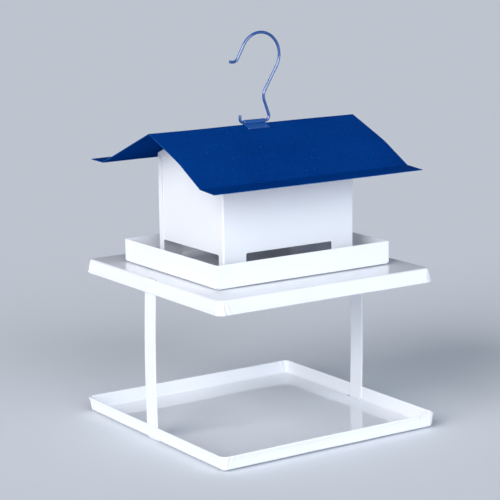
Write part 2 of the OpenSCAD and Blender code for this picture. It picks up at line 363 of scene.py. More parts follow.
def bump_node(nodes, links, height, strength, distance, normal=None):
    """Bump of the given depth in metres, on top of an earlier one if there is one."""
    node = nodes.new("ShaderNodeBump")
    node.inputs["Strength"].default_value = strength
    node.inputs["Distance"].default_value = distance
    links.new(height, node.inputs["Height"])
    if normal is not None:
        links.new(normal, node.inputs["Normal"])
    return node.outputs["Normal"]


def white_paint(name, edge=False):
    """Glossy white powder coat: orange peel, faint cloudiness and a few specks of dust."""
    material, nodes, links, shader, place = new_material(name)
    clouds = noise_node(nodes, links, place, 14, detail=4)
    specks = noise_node(nodes, links, place, 900, detail=1)
    tone = ramp_node(nodes, links, clouds, 0.35, 0.7, (0.85, 0.87, 0.91), (0.87, 0.89, 0.93))
    dust = range_node(nodes, links, specks, 0.76, 0.80, 0, 0.35)
    tone = mix_node(nodes, links, dust, tone, DUST)
    if edge:
        edge_noise = noise_node(nodes, links, place, 160, detail=5, roughness=0.7)
        edge_share = range_node(nodes, links, edge_noise, 0.62, 0.70, 0, 0.6)
        tone = mix_node(nodes, links, edge_share, tone, WORN_WHITE)
    links.new(tone, shader.inputs["Base Color"])
    smears = noise_node(nodes, links, place, 30, detail=5, roughness=0.6)
    links.new(range_node(nodes, links, smears, 0.3, 0.75, 0.3, 0.36), shader.inputs["Roughness"])
    shader.inputs["Specular IOR Level"].default_value = 0.1
    shader.inputs["Coat Weight"].default_value = 0.9
    shader.inputs["Coat Roughness"].default_value = 0.04
    peel = noise_node(nodes, links, place, 420, detail=2)
    fine = noise_node(nodes, links, place, 1600, detail=2)
    normal = bump_node(nodes, links, peel, 0.1, 0.0003)
    links.new(bump_node(nodes, links, fine, 0.05, 0.0001, normal), shader.inputs["Normal"])
    return material


def blue_paint(name, shades, gloss, coat, edge=False):
    """Royal blue paint between two shades: fine speckle, tiny chips and a few short scuffs.

    gloss is the specular level of the paint and coat the weight of the clear layer over it.
    """
    material, nodes, links, shader, place = new_material(name)
    clouds = noise_node(nodes, links, place, 9, detail=3)
    tone = ramp_node(nodes, links, clouds, 0.3, 0.7, *shades)
    grain = noise_node(nodes, links, place, 620, detail=3, roughness=0.6)
    speckle = range_node(nodes, links, grain, 0.45, 0.75, 0, 0.45)
    tone = mix_node(nodes, links, speckle, tone, SPECKLE_BLUE)
    chips = noise_node(nodes, links, place, 230, detail=2)
    chipped = range_node(nodes, links, chips, 0.72, 0.75, 0, 0.4)
    tone = mix_node(nodes, links, chipped, tone, CHIP_BLUE)
    streaks = noise_node(nodes, links, stretched(nodes, links, place, (30, 420, 420)), 1, detail=1)
    spread = noise_node(nodes, links, place, 21, detail=1)
    scuffs = product(nodes, links, range_node(nodes, links, streaks, 0.73, 0.76, 0, 1),
                     range_node(nodes, links, spread, 0.60, 0.66, 0, 0.45))
    tone = mix_node(nodes, links, scuffs, tone, SCUFF_BLUE)
    # Painted highlight: the cut edges get a patchy lighter blue that stands for the bright line
    # light makes along them
    if edge:
        edge_noise = noise_node(nodes, links, place, 140, detail=5, roughness=0.7)
        edge_share = range_node(nodes, links, edge_noise, 0.4, 0.6, 0.2, 0.8)
        tone = mix_node(nodes, links, edge_share, tone, EDGE_HIGHLIGHT_BLUE)
    links.new(tone, shader.inputs["Base Color"])
    smears = noise_node(nodes, links, place, 26, detail=5, roughness=0.6)
    links.new(range_node(nodes, links, smears, 0.3, 0.75, 0.34, 0.44), shader.inputs["Roughness"])
    shader.inputs["Specular IOR Level"].default_value = gloss
    shader.inputs["Coat Weight"].default_value = coat
    shader.inputs["Coat IOR"].default_value = 1.5 + 0.6 * coat
    shader.inputs["Coat Roughness"].default_value = 0.08
    peel = noise_node(nodes, links, place, 520, detail=2)
    links.new(bump_node(nodes, links, peel, 0.16, 0.0006), shader.inputs["Normal"])
    return material


def zinc(name):
    """Bright zinc plating with a slight yellow and blue cast in soft patches."""
    material, nodes, links, shader, place = new_material(name)
    patches = noise_node(nodes, links, place, 260, detail=4)
    tone = ramp_node(nodes, links, patches, 0.35, 0.68, (0.60, 0.62, 0.66), (0.78, 0.76, 0.70))
    links.new(tone, shader.inputs["Base Color"])
    shader.inputs["Metallic"].default_value = 1
    scratches = noise_node(nodes, links, place, 1500, detail=4, roughness=0.7)
    links.new(range_node(nodes, links, scratches, 0.3, 0.7, 0.22, 0.42), shader.inputs["Roughness"])
    links.new(bump_node(nodes, links, scratches, 0.1, 0.0001), shader.inputs["Normal"])
    return material


def nylon(name):
    """Milky nylon of the spacers, with a fine moulded grain."""
    material, nodes, links, shader, place = new_material(name)
    grain = noise_node(nodes, links, place, 900, detail=3)
    tone = ramp_node(nodes, links, grain, 0.35, 0.7, (0.66, 0.66, 0.62), (0.74, 0.74, 0.70))
    links.new(tone, shader.inputs["Base Color"])
    links.new(range_node(nodes, links, grain, 0.3, 0.7, 0.42, 0.55), shader.inputs["Roughness"])
    links.new(bump_node(nodes, links, grain, 0.1, 0.0002), shader.inputs["Normal"])
    return material


WHITE = [white_paint("white_paint"), white_paint("white_paint_edge", edge=True)]
ROOF_SHADES = ((0.0003, 0.024, 0.165), (0.0003, 0.036, 0.215))
WIRE_SHADES = ((0.0003, 0.055, 0.25), (0.0003, 0.075, 0.33))
BLUE = [blue_paint("blue_paint", ROOF_SHADES, gloss=0.0, coat=0.08),
        blue_paint("blue_paint_edge", ROOF_SHADES, gloss=0.05, coat=0.08, edge=True),
        blue_paint("blue_paint_under", ROOF_SHADES, gloss=0.0, coat=0.0)]
GLOSSY_BLUE = [blue_paint("blue_gloss", WIRE_SHADES, gloss=0.3, coat=1.0),
               blue_paint("blue_gloss_edge", WIRE_SHADES, gloss=0.4, coat=1.0, edge=True)]
ZINC = zinc("zinc_plate")
NYLON = nylon("nylon")


# ------------------------------------------------------------------ pans

RIM_FLARE = 1.5
HEM_HEIGHT = 3.0
HEM_RADIUS = 0.5
PAN_FOLD_RADIUS = 3.0
PAN_CORNER = 6.0
SLOT_FROM = -SHEET - 3.9
SLOT_TO = -SHEET
CORNER_COLUMNS = 24  # So many columns, 1 mm apart, end each side at its corners
WRINKLE_PEAK = 5.0
WRINKLE_REACH = 9.0
LONG_WAVE, SHORT_WAVE = 7.2, 4.1
DENTS_FROM, DENTS_TO = 7.0, 21.0
DENT_DEPTH = 0.5
DENT_PITCH = 4.67

rim_height = tray_high.z - tray_low.z
hem_reach = RIM_FLARE + SHEET
tray_fold = (tray_high.x - hem_reach, tray_high.y - hem_reach)
deck_fold = (deck_high.x - hem_reach, deck_high.y - hem_reach)


def pan_profile():
    """Mid-line of a pan's edge in (outward from the fold, up): floor, rim and rolled hem."""
    lean = math.atan(RIM_FLARE / rim_height)
    along = Vector((math.sin(lean), math.cos(lean)))
    out = Vector((math.cos(lean), -math.sin(lean)))
    floor = SHEET / 2
    foot = Vector((math.tan(lean) * floor - SHEET / 2, floor))
    crown = foot + along * (rim_height - floor - HEM_RADIUS - SHEET / 2) / along.y
    body = rounded([(-PAN_CORNER, floor), foot, crown], [PAN_FOLD_RADIUS])
    body = split(refine(body, 2.6), 0, [SLOT_FROM])
    turn = [crown + out * HEM_RADIUS * (1 - math.cos(a)) + along * HEM_RADIUS * math.sin(a)
            for a in [math.pi * i / 8 for i in range(1, 9)]]
    tail = turn[-1] - along * (HEM_HEIGHT - HEM_RADIUS - SHEET / 2)
    return body + turn + [turn[-1].lerp(tail, 0.5), tail]


def add_pan(bm, fold, base, up, slot, wrinkle_phase, wrinkle_depth, notch_at=None,
            dents_at=None):
    """A pan with its floor at height base and its rim pointing up (1) or down (-1).

    fold holds the distances of its folds from the middle, along X and along Y. slot is the length
    of the strap slots along the two folds at -X and +X. Wrinkles at the corners are up to about
    wrinkle_depth deep, and wrinkle_phase shifts them along the rim. Sides and the corners that
    follow them are numbered from the side at +X. notch_at names the side with a gap in its hem,
    and dents_at the corner with a row of dents beside it.
    """
    profile = pan_profile()
    slot_rows = [SLOT_FROM < p.x < SLOT_TO and p.y < PAN_FOLD_RADIUS
                 for p in (a.lerp(b, 0.5) for a, b in zip(profile, profile[1:]))]
    hem_row = len(profile) - 4
    corner_arc = [math.pi / 2 * i / 16 for i in range(17)]
    arc_half = math.pi / 4 * (PAN_CORNER + RIM_FLARE / 2)
    flat = [reach - PAN_CORNER for reach in fold]

    def side_stops(end):
        """Columns along a side: fine near the corners and at the slot's ends."""
        fine = [end - k for k in range(CORNER_COLUMNS)]
        return stops(*fine, *[-x for x in fine], -slot / 2, slot / 2, step=13.0)

    across = [side_stops(end) for end in flat]

    def wrinkle(distance, p, quarter):
        """Outward shift of the rim near a corner, where the pressed metal gathered."""
        h = (p.y - PAN_FOLD_RADIUS) / rim_height
        rise = smooth(h, 0, 0.35) * (1 - 0.5 * smooth(h, 0.6, 1))
        phase = math.pi * (quarter - 1) + wrinkle_phase
        fanned = 2 * math.pi * distance / (0.75 + 0.6 * h)
        wave = (math.cos(fanned / LONG_WAVE + phase)
                + 0.5 * math.sin(fanned / SHORT_WAVE - 2 * phase))
        envelope = math.exp(-((distance - WRINKLE_PEAK) / WRINKLE_REACH) ** 2)
        shift = wrinkle_depth * rise * wave * envelope
        if quarter == dents_at and DENTS_FROM < -distance < DENTS_TO:
            band = math.exp(-((h - 0.55) / 0.22) ** 2)
            turns = (distance + DENTS_FROM) / DENT_PITCH
            shift -= DENT_DEPTH * band * (1 - math.cos(2 * math.pi * turns))
        return shift

    def place(x, y, z, quarter):
        """A point of side 0, moved to the side with the given number."""
        turned = Matrix.Rotation(quarter * math.pi / 2, 2) @ Vector((x, y))
        return Vector((*turned, base + up * z))

    def side_point(p, v, quarter):
        """The profile's point p, at v along a side from its middle."""
        distance = arc_half + flat[1 - quarter % 2] - abs(v)
        near = quarter + (0 if v > 0 else -1)
        signed = -distance if v > 0 else distance
        return place(fold[quarter % 2] + p.x + wrinkle(signed, p, near % 4), v, p.y, quarter)

    def corner_point(p, angle, quarter):
        """The profile's point p, at an angle round the corner that follows a side."""
        distance = (angle - math.pi / 4) / (math.pi / 4) * arc_half
        arm = PAN_CORNER + p.x + wrinkle(distance, p, quarter)
        return place(flat[quarter % 2] + arm * math.cos(angle),
                     flat[1 - quarter % 2] + arm * math.sin(angle), p.y, quarter)

    def keep_side(i, v, quarter):
        """Leaves out the strap slots and the gap in the hem."""
        in_slot = quarter % 2 == 0 and slot_rows[i] and abs(v) < slot / 2
        in_notch = quarter == notch_at and i >= hem_row and 3 < flat[1 - quarter % 2] - v < 6
        return not in_slot and not in_notch

    add_grid(bm, across[0], across[1], lambda x, y: Vector((x, y, base + up * SHEET / 2)))
    for quarter in range(4):
        side = across[1 - quarter % 2]
        add_grid(bm, profile, side, lambda p, v: side_point(p, v, quarter),
                 lambda i, j: keep_side(i, (side[j] + side[j + 1]) / 2, quarter))
        add_grid(bm, profile, corner_arc, lambda p, a: corner_point(p, a, quarter))
    weld(bm)


def fruit_tray():
    """Lower pan with its rim up, slotted for the straps."""
    bm = bmesh.new()
    add_pan(bm, tray_fold, tray_low.z, 1, slot=28.0, wrinkle_phase=0.3, wrinkle_depth=0.55,
            dents_at=3)
    unevenness(bm, 3, height=0.35, size=70)
    sheet_piece("fruit_tray_sheet", bm, SHEET, 0.2, "base", "fruit_tray", WHITE)


def platform():
    """Upper pan with its rim down, slotted for the straps' tabs."""
    bm = bmesh.new()
    add_pan(bm, deck_fold, deck_high.z, -1, slot=23.2, wrinkle_phase=0.0, wrinkle_depth=0.9,
            notch_at=3)
    unevenness(bm, 5, height=0.3, size=80)
    sheet_piece("platform_sheet", bm, SHEET, 0.2, "base", "platform", WHITE)


# ------------------------------------------------------------------ straps

STRAP = 1.2
STRAP_HALF = 12.0
TAB_HALF = 9.5
TAB_DROP = 10.0
STRAP_BOW = 1.5
TAB_SINK = 0.9
FOLD_GAP = 0.1


def strap_path():
    """Mid-line of a strap in (outward, up), from its foot to the end of its tab."""
    against_rim = SHEET + FOLD_GAP + STRAP / 2
    start = tray_fold[0] - against_rim
    inside = deck_fold[0] - against_rim
    outside = deck_fold[0] + FOLD_GAP + STRAP / 2
    # The tab is pressed down into the platform's rounded fold
    over = deck_high.z - TAB_SINK + STRAP / 2
    lean = RIM_FLARE / rim_height
    low = Vector((start + RIM_FLARE, tray_high.z))
    high = Vector((inside + RIM_FLARE, deck_low.z))
    bow = [low.lerp(high, i / 24) + Vector((STRAP_BOW * math.sin(math.pi * i / 24), 0))
           for i in range(25)]
    corners = [(strap_low.x, STRAP / 2), (start, STRAP / 2), *bow, (inside, deck_high.z - 3),
               (inside, over), (outside, over), (outside + lean * TAB_DROP, deck_high.z - TAB_DROP)]
    radii = [1.5, 20] + [200] * (len(bow) - 2) + [20, 12, 1.0, 1.25]
    return refine(rounded(corners, radii), 9)


def strap(name, node, side):
    """Strap at -X (side -1) or +X (1), narrowed to a tab where it passes the platform."""
    path = strap_path()
    shoulder = deck_high.z - SHEET - 0.6
    first_tab = next(i for i, p in enumerate(path) if p.y > shoulder)
    bm = bmesh.new()
    across = [i / 4 - 1 for i in range(9)]

    def point(i, v):
        """Point of the strap at v, from -1 to 1, across its width."""
        narrow = smooth(i, first_tab - 2, first_tab)
        half = STRAP_HALF + (TAB_HALF - STRAP_HALF) * narrow
        return Vector((side * path[i].x, v * half, path[i].y))

    add_grid(bm, list(range(len(path))), across, point)
    weld(bm)
    sheet_piece(name, bm, STRAP, 0.35, "base", node, WHITE)


# ------------------------------------------------------------------ seed tray

TRAY_FOLD_RADIUS = 1.2
TRAY_RELIEF = 1.5
TRAY_LIFT = 1.8
TRAY_LAP = 10.5
LONG_LAP_BEND = 1.2
END_LAP_BEND = 0.7
LAP_CHAMFER_REACH = 4.0
LAP_CHAMFER_DROP = 3.0
END_WALL_DROP = 0.15


def tray_half(bm):
    """Front long wall and left end wall with their folds and corner laps."""
    half_x = seed_high.x - SHEET * 1.5
    half_y = seed_high.y - SHEET / 2
    floor = seed_low.z + SHEET / 2
    low = seed_low.z + TRAY_LIFT
    top = seed_high.z
    heights = stops(low, top, step=5.0)
    reach_x = half_x - TRAY_RELIEF
    reach_y = half_y - TRAY_RELIEF

    def fold(wall):
        """Mid-line from the floor up to where the laps begin, in (outward, up)."""
        corners = [(wall - TRAY_RELIEF, floor), (wall, floor), (wall, low)]
        return rounded(corners, [TRAY_FOLD_RADIUS])

    long_stops = stops(-reach_x, reach_x, step=12)
    end_stops = stops(-reach_y, reach_y, step=12)
    add_grid(bm, fold(half_y), long_stops, lambda p, x: Vector((x, -p.x, p.y)))
    add_grid(bm, fold(half_x), end_stops, lambda p, y: Vector((-p.x, y, p.y)))

    long_plan = rounded([(-half_x - SHEET / 2, -half_y), (half_x + SHEET, -half_y),
                         (half_x + SHEET, -half_y + TRAY_LAP)], [LONG_LAP_BEND])
    long_plan = refine(split(long_plan, 0, long_stops), 12)
    inner_y = half_y - SHEET
    end_plan = rounded([(-half_x, inner_y - 0.3), (-half_x, -inner_y),
                        (-half_x + TRAY_LAP, -inner_y)], [END_LAP_BEND])
    end_plan = refine(split(end_plan, 1, end_stops), 12)

    def chamfered(p, z, free):
        """Lowers the top corner at a lap's free edge."""
        near_free = 1 - smooth((p - free).length, 0, LAP_CHAMFER_REACH)
        return z - near_free * LAP_CHAMFER_DROP * smooth(z, low, top)

    add_grid(bm, heights, long_plan,
             lambda z, p: Vector((p.x, p.y, chamfered(p, z, long_plan[-1]))))

    def end_point(z, p):
        """Point of the end wall, whose top stays a little lower than the long wall's."""
        z -= END_WALL_DROP * smooth(z, low, top)
        return Vector((p.x, p.y, chamfered(p, z, end_plan[-1])))

    add_grid(bm, heights, end_plan, end_point)


def seed_tray():
    """Tray under the hopper: a floor and two equal halves of folded walls."""
    bm = bmesh.new()
    tray_half(bm)
    add_turned_copy(bm)
    half_x = seed_high.x - SHEET * 1.5 - TRAY_RELIEF
    half_y = seed_high.y - SHEET / 2 - TRAY_RELIEF
    floor = seed_low.z + SHEET / 2
    add_grid(bm, stops(-half_x, half_x), stops(-half_y, half_y), lambda x, y: Vector((x, y, floor)))
    weld(bm)
    unevenness(bm, 8, height=0.3, size=60)
    sheet_piece("seed_tray_sheet", bm, SHEET, 0.2, "base", "seed_tray", WHITE)


# ------------------------------------------------------------------ hopper

SLOT_HALF = 61.0
SLOT_CORNER = 2.0
WALL_FOLD_RADIUS = 1.6
FLANGE_HALF = 60.0
FLANGE_WIDTH = 8.0
FOOT_AT = 78.0
FOOT_HALF = 11.0
FOOT_DEPTH = 15.0
FOOT_RELIEF = 0.8
FOOT_BEND = 1.2
FLANGE_BEND = 1.3
LAP_WIDTH = 9.5

slot_top = wall_foot + 29.0


def edge_z(y):
    """Height of the gable's sloping edge at distance y from the middle."""
    return wall_top + (hopper_y - abs(y)) * math.tan(ROOF_SLOPE)


def hopper_half(name, node, back):
    """One L of folded sheet: the long wall at -Y, the gable at -X and a lap round the other's."""
    wall_y = -hopper_y + SHEET / 2
    gable_x = -hopper_x + SHEET / 2
    lap_x = hopper_x + SHEET / 2
    foot_z = wall_foot + SHEET / 2
    plan = rounded([(gable_x, -wall_y - SHEET - FOLD_GAP), (gable_x, wall_y), (lap_x, wall_y),
                    (lap_x, -hopper_y + LAP_WIDTH)], [WALL_FOLD_RADIUS] * 2)
    rim = SLOT_HALF - SLOT_CORNER
    slot_marks = [-SLOT_HALF, -FLANGE_HALF, -rim, 0, rim, FLANGE_HALF, SLOT_HALF]
    foot_ends = (-FOOT_HALF - FOOT_RELIEF, -FOOT_HALF, FOOT_HALF, FOOT_HALF + FOOT_RELIEF)
    plan = split(plan, 1, slot_marks)
    foot_marks = [side * (FOOT_AT + end) for side in (-1, 1) for end in foot_ends]
    plan = split(plan, 0, slot_marks + foot_marks)
    plan = refine(plan, 9)
    feet_z = foot_z + FOOT_BEND
    flange_tip = (-hopper_y - FLANGE_WIDTH, edge_z(hopper_y + FLANGE_WIDTH) - SHEET / 2)
    flange = rounded([(wall_y, wall_top - 3), (wall_y, edge_z(wall_y) - SHEET / 2), flange_tip],
                     [FLANGE_BEND])[1:]
    rows = [wall_foot + 0.05, feet_z, *stops(feet_z + 6, slot_top - SLOT_CORNER, step=7), slot_top]
    lower = len(rows)
    rows += [slot_top + i / 12 for i in range(1, 13)]

    def top(p):
        """Height where the sheet ends, or for the long wall where the flange's bend starts."""
        if p.x > hopper_x:
            along = p.y - wall_y
            return wall_top - 1.5 - 0.5 * along - 2.5 * smooth(along, 6.5, LAP_WIDTH)
        if p.x < gable_x + 0.2:
            return edge_z(p.y)
        return flange[0].y if abs(p.x) <= FLANGE_HALF + NEAR else wall_top

    def point(i, p):
        """Point of row i: at a fixed height up to the slots' top, then spread up to the end."""
        z = rows[i] if i < lower else slot_top + (top(p) - slot_top) * (i - lower + 1) / 12
        return Vector((p.x, p.y, z))

    def keep(i, j):
        """Leaves out the feed slots and what the feet are bent from."""
        mid = plan[j].lerp(plan[j + 1], 0.5)
        on_long = mid.y < wall_y + 0.2
        on_gable = mid.x < gable_x + 0.2
        beside = on_long and abs(mid.x) < SLOT_HALF or on_gable and abs(mid.y) < SLOT_HALF
        in_slot = i < lower - 1 and beside
        over_foot = i == 0 and on_long and abs(abs(mid.x) - FOOT_AT) < FOOT_HALF + FOOT_RELIEF
        return not in_slot and not over_foot

    bm = bmesh.new()
    add_grid(bm, list(range(len(rows))), plan, point, keep)
    down = (0, 0, -1)
    foot = rounded([(wall_y, feet_z), (wall_y, foot_z), (-hopper_y + FOOT_DEPTH, foot_z)],
                   [FOOT_BEND - 0.3])
    long_x = [p.x for p in plan if abs(p.y - wall_y) < NEAR]
    for side in (-1, 1):
        add_fillet(bm, (side * SLOT_HALF, wall_y, slot_top), (-side, 0, 0), down, SLOT_CORNER)
        add_fillet(bm, (gable_x, side * SLOT_HALF, slot_top), (0, -side, 0), down, SLOT_CORNER)
        across = [x for x in long_x if abs(side * x - FOOT_AT) <= FOOT_HALF + NEAR]
        add_grid(bm, foot, across, lambda p, x: Vector((x, p.x, p.y)))
    across = [x for x in long_x if abs(x) <= FLANGE_HALF + NEAR]
    add_grid(bm, flange, across, lambda p, x: Vector((x, p.x, p.y)))
    weld(bm)
    unevenness(bm, 11 + 2 * back, height=0.3, size=65)
    if back:
        spin(bm, bm.verts, math.pi)
    sheet_piece(name, bm, SHEET, 0.2, "base", node, WHITE)


# ------------------------------------------------------------------ roof

SLOPE_LENGTH = 120.0
LIP_LENGTH = 29.0
LIP_BEND = math.radians(24)
KNEE_AT = 69.5
KNEE_BEND = math.radians(6.3)
EAVE_RADIUS = 2.5
KNEE_RADIUS = 60.0
RIDGE_RADIUS = 2.2
LEG_LENGTH = 10.5
SLIT_WIDTH = 1.6
SLIT_PLAY = 0.5
SADDLE_HALF = 15.0

ridge_z = roof_high.z


def along_slope(start, distance, angle):
    """The point in (y, z) at a distance from start, down a slope of the given angle."""
    return Vector(start) + distance * Vector((math.cos(angle), -math.sin(angle)))


def roof_profile():
    """Mid-line of the roof in (y, z), from the front lip over the ridge to the back lip."""
    ridge = Vector((0, ridge_z - SHEET / 2 / math.cos(ROOF_SLOPE)))
    knee = along_slope(ridge, KNEE_AT, ROOF_SLOPE)
    front = along_slope(knee, SLOPE_LENGTH - KNEE_AT, ROOF_SLOPE + KNEE_BEND)
    front_tip = along_slope(front, LIP_LENGTH - 0.2, ROOF_SLOPE + KNEE_BEND - LIP_BEND)
    back = along_slope(ridge, SLOPE_LENGTH, ROOF_SLOPE)
    back_tip = along_slope(back, LIP_LENGTH - 0.2, ROOF_SLOPE - LIP_BEND)
    flipped = [Vector((-p.x, p.y)) for p in (front_tip, front, knee)]
    radii = [EAVE_RADIUS, KNEE_RADIUS, RIDGE_RADIUS, EAVE_RADIUS]
    path = rounded([*flipped, ridge, back, back_tip], radii)
    slit = [LEG_LENGTH, LEG_LENGTH + SLIT_WIDTH]
    marks = [side * s * math.cos(ROOF_SLOPE) for side in (-1, 1) for s in slit]
    return refine(split(path, 0, marks), 8)


def roof_sheet():
    """Folded roof with two slits for the saddle's legs."""
    profile = roof_profile()
    half = roof_high.x
    slit_half = SADDLE_HALF + SLIT_PLAY
    columns = stops(-half, -half + 2, -slit_half, slit_half, half - 2, half, step=10)
    near = LEG_LENGTH * math.cos(ROOF_SLOPE)
    far = (LEG_LENGTH + SLIT_WIDTH) * math.cos(ROOF_SLOPE)

    def keep(i, j):
        """Leaves out the two slits."""
        y = abs(profile[i].x + profile[i + 1].x) / 2
        x = abs(columns[j] + columns[j + 1]) / 2
        return not (near < y < far and x < slit_half)

    bm = bmesh.new()
    add_grid(bm, profile, columns, lambda p, x: Vector((x, p.x, p.y)), keep)
    weld(bm)
    if sum(face.normal.z for face in bm.faces) < 0:
        bmesh.ops.reverse_faces(bm, faces=bm.faces)
    unevenness(bm, 21, height=0.5, size=90)
    sheet_piece("roof_folded_sheet", bm, SHEET, 0.22, "roof", "roof_sheet", BLUE)


# ------------------------------------------------------------------ hanger

SADDLE = 1.0
CLINCH = 7.0
SLEEVE_PLAY = 0.06
WAIST_MARK = 0.08
WIRE_AROUND = 20
WIRE_CHAMFER = 0.35


def slope_point(s, n):
    """Point at distance s down the back slope and n above its upper face, in (y, z)."""
    down = Vector((math.cos(ROOF_SLOPE), -math.sin(ROOF_SLOPE)))
    out = Vector((math.sin(ROOF_SLOPE), math.cos(ROOF_SLOPE)))
    return Vector((0, ridge_z)) + s * down + n * out


def saddle_profile():
    """Mid-line of the saddle in (y, z): clinched leg, sleeve over the wire, clinched leg."""
    axis = Vector((0, wire_axis))
    sleeve = WIRE_RADIUS + SLEEVE_PLAY + SADDLE / 2
    bend = LEG_LENGTH + SADDLE / 2
    below = -SHEET - SADDLE / 2
    # The leg's line meets the sleeve's circle where its distance from the wire is the radius
    height = (slope_point(0, SADDLE / 2) - axis).dot(slope_point(0, 1) - slope_point(0, 0))
    reach = math.sqrt(sleeve ** 2 - height ** 2)
    foot = (axis - slope_point(0, 0)).dot(slope_point(1, 0) - slope_point(0, 0))
    meet = slope_point(foot + reach, SADDLE / 2)
    angle = math.atan2(meet.y - axis.y, meet.x - axis.x)
    over = [axis + sleeve * Vector((math.cos(a), math.sin(a)))
            for a in [angle + (math.pi - 2 * angle) * i / 20 for i in range(21)]]
    leg = [slope_point(LEG_LENGTH + CLINCH, below), slope_point(bend, below),
           slope_point(bend, SADDLE / 2), meet]
    leg = rounded(leg + [over[3]], [0.62, 0.7, 0.62])[:-1]
    other = [Vector((-p.x, p.y)) for p in reversed(leg)]
    return refine(leg, 2.5) + over[3:18] + refine(other, 2.5)


def hook_saddle():
    """Pressed saddle that holds the wire on the ridge."""
    profile = saddle_profile()
    columns = stops(-SADDLE_HALF, -SADDLE_HALF + 1, SADDLE_HALF - 1, SADDLE_HALF, step=3)
    bm = bmesh.new()
    add_grid(bm, profile, columns, lambda p, x: Vector((x, p.x, p.y)))
    weld(bm)
    sheet_piece("hook_saddle_sheet", bm, SADDLE, 0.25, "roof", "hook_saddle", GLOSSY_BLUE)


def wire_path():
    """Centre line of the hanger in (x, z): stub, stretch in the saddle, waist, hook and curl."""
    stub, stub_r, reach, knee_r = 4.3, 4.5, 15.9, 5.5
    waist_r, hook_r, curl_r = 14.5, 27.0, 8.0
    steps = [(stub, stub_r, 90), (2 * reach - 0.5, knee_r, 110), (18, waist_r, -52),
             (32, hook_r, 182), (18, curl_r, -75), (2.5, 0, 0)]
    place = Vector((-reach - stub_r, wire_axis + stub_r + stub))
    heading = -math.pi / 2
    path = [place]
    for run, radius, degrees in steps:
        ahead = Vector((math.cos(heading), math.sin(heading)))
        path += [path[-1] + ahead * run * i / 4 for i in range(1, 5)]
        if radius:
            turn = math.radians(degrees)
            side = math.copysign(radius, turn)
            centre = path[-1] + side * Vector((-ahead.y, ahead.x))
            path += arc(centre, path[-1], turn)[1:]
            heading += turn
    return path


def hook_wire():
    """The hanger: round wire along its path, with chamfered ends."""
    path = [Vector((p.x, 0, p.y)) for p in wire_path()]
    waist_z = path[34].z
    last = len(path) - 1
    side = Vector((0, 1, 0))
    rings = []
    for i, centre in enumerate(path):
        ahead = (path[min(last, i + 1)] - path[max(0, i - 1)]).normalized()
        other = ahead.cross(side)
        inset = ahead * WIRE_CHAMFER
        sections = [(WIRE_RADIUS, centre)]
        if i == 0:
            sections = [(WIRE_RADIUS - WIRE_CHAMFER, centre), (WIRE_RADIUS, centre + inset)]
        elif i == last:
            sections = [(WIRE_RADIUS, centre - inset), (WIRE_RADIUS - WIRE_CHAMFER, centre)]
        for radius, middle in sections:
            # Pliers left the wire slightly flattened at its waist
            mark = math.exp(-((middle.z - waist_z) / 5) ** 2) * WAIST_MARK
            wide = side * radius * (1 + mark)
            narrow = other * radius * (1 - mark)
            angles = [2 * math.pi * k / WIRE_AROUND for k in range(WIRE_AROUND)]
            rings.append([middle + wide * math.cos(a) + narrow * math.sin(a) for a in angles])
    bm = bmesh.new()
    add_rings(bm, rings, closed=True)
    bmesh.ops.recalc_face_normals(bm, faces=bm.faces)
    piece = new_piece("hook_bent_wire", bm, "hook", "hook_wire", GLOSSY_BLUE[:1])
    flat_shading(piece)


# ------------------------------------------------------------------ fasteners

SCREW_X, SCREW_Y = FOOT_AT, 62.0
SCREW_RADIUS = 2.0
THREAD_PITCH = 0.7
THREAD_DEPTH = 0.38
HEAD_HEIGHT = 2.6
HEAD_RADIUS = 4.0
NUT_FLAT = 3.5
NUT_BORE = SCREW_RADIUS + 0.06
NUT_SINK = 0.45


def ring(around, radius, height):
    """A ring of points; radius and height are numbers or functions of the angle."""
    points = []
    for k in range(around):
        angle = 2 * math.pi * k / around
        r = radius(angle) if callable(radius) else radius
        z = height(angle, r) if callable(height) else height
        points.append(Vector((r * math.cos(angle), r * math.sin(angle), z)))
    return points


def add_screw(bm, low, high):
    """Pan-head M4 screw with a cross recess and a thread that runs out below its head."""
    around = 48
    seat = high - HEAD_HEIGHT
    thread_end = seat - 1.2

    def thread(z):
        """The thread's radius at height z, as a function of the angle."""
        def radius(angle):
            """From the thread's ground up to its crest and back, once for each turn."""
            turn = (z / THREAD_PITCH + angle / (2 * math.pi)) % 1
            ridge = max(0, 1 - abs(turn - 0.5) / 0.42)
            fade = smooth(z, low, low + 1.2) * (1 - smooth(z, thread_end - 0.6, thread_end))
            groove = THREAD_DEPTH * (1 - ridge * fade)
            return SCREW_RADIUS - groove * (1 - smooth(z, thread_end, thread_end + 0.3))
        return radius

    def dome(angle, r):
        """Height of the head's top with its cross recess."""
        crown = high - 0.65 * (r / HEAD_RADIUS) ** 2.6
        x, y = abs(r * math.cos(angle)), abs(r * math.sin(angle))
        arm = 1 - smooth(min(x, y), 0.36, 0.52)
        reach = 1 - smooth(max(x, y), 1.75, 2.15)
        return crown - 1.5 * arm * reach * (1 - 0.17 * r)

    shank = [low + (seat - low) * i / 84 for i in range(84)]
    side = [(HEAD_RADIUS - 0.12, seat), (HEAD_RADIUS, seat + 0.12), (HEAD_RADIUS, high - 1.3),
            (HEAD_RADIUS - 0.3, high - 0.68)]
    top = [HEAD_RADIUS * (1 - i / 18) for i in range(3, 18)]
    rings = [ring(around, thread(z), z) for z in shank]
    rings += [ring(around, r, z) for r, z in side] + [ring(around, r, dome) for r in top]
    add_rings(bm, rings, closed=True)


def add_washer(bm, low, high, inner, outer, around=48):
    """Flat ring with softly rounded rims."""
    edge = 0.12
    outline = [(inner + edge, low), (outer - edge, low), (outer, low + edge),
               (outer, high - edge), (outer - edge, high), (inner + edge, high),
               (inner, high - edge), (inner, low + edge), (inner + edge, low)]
    add_rings(bm, [ring(around, r, z) for r, z in outline])


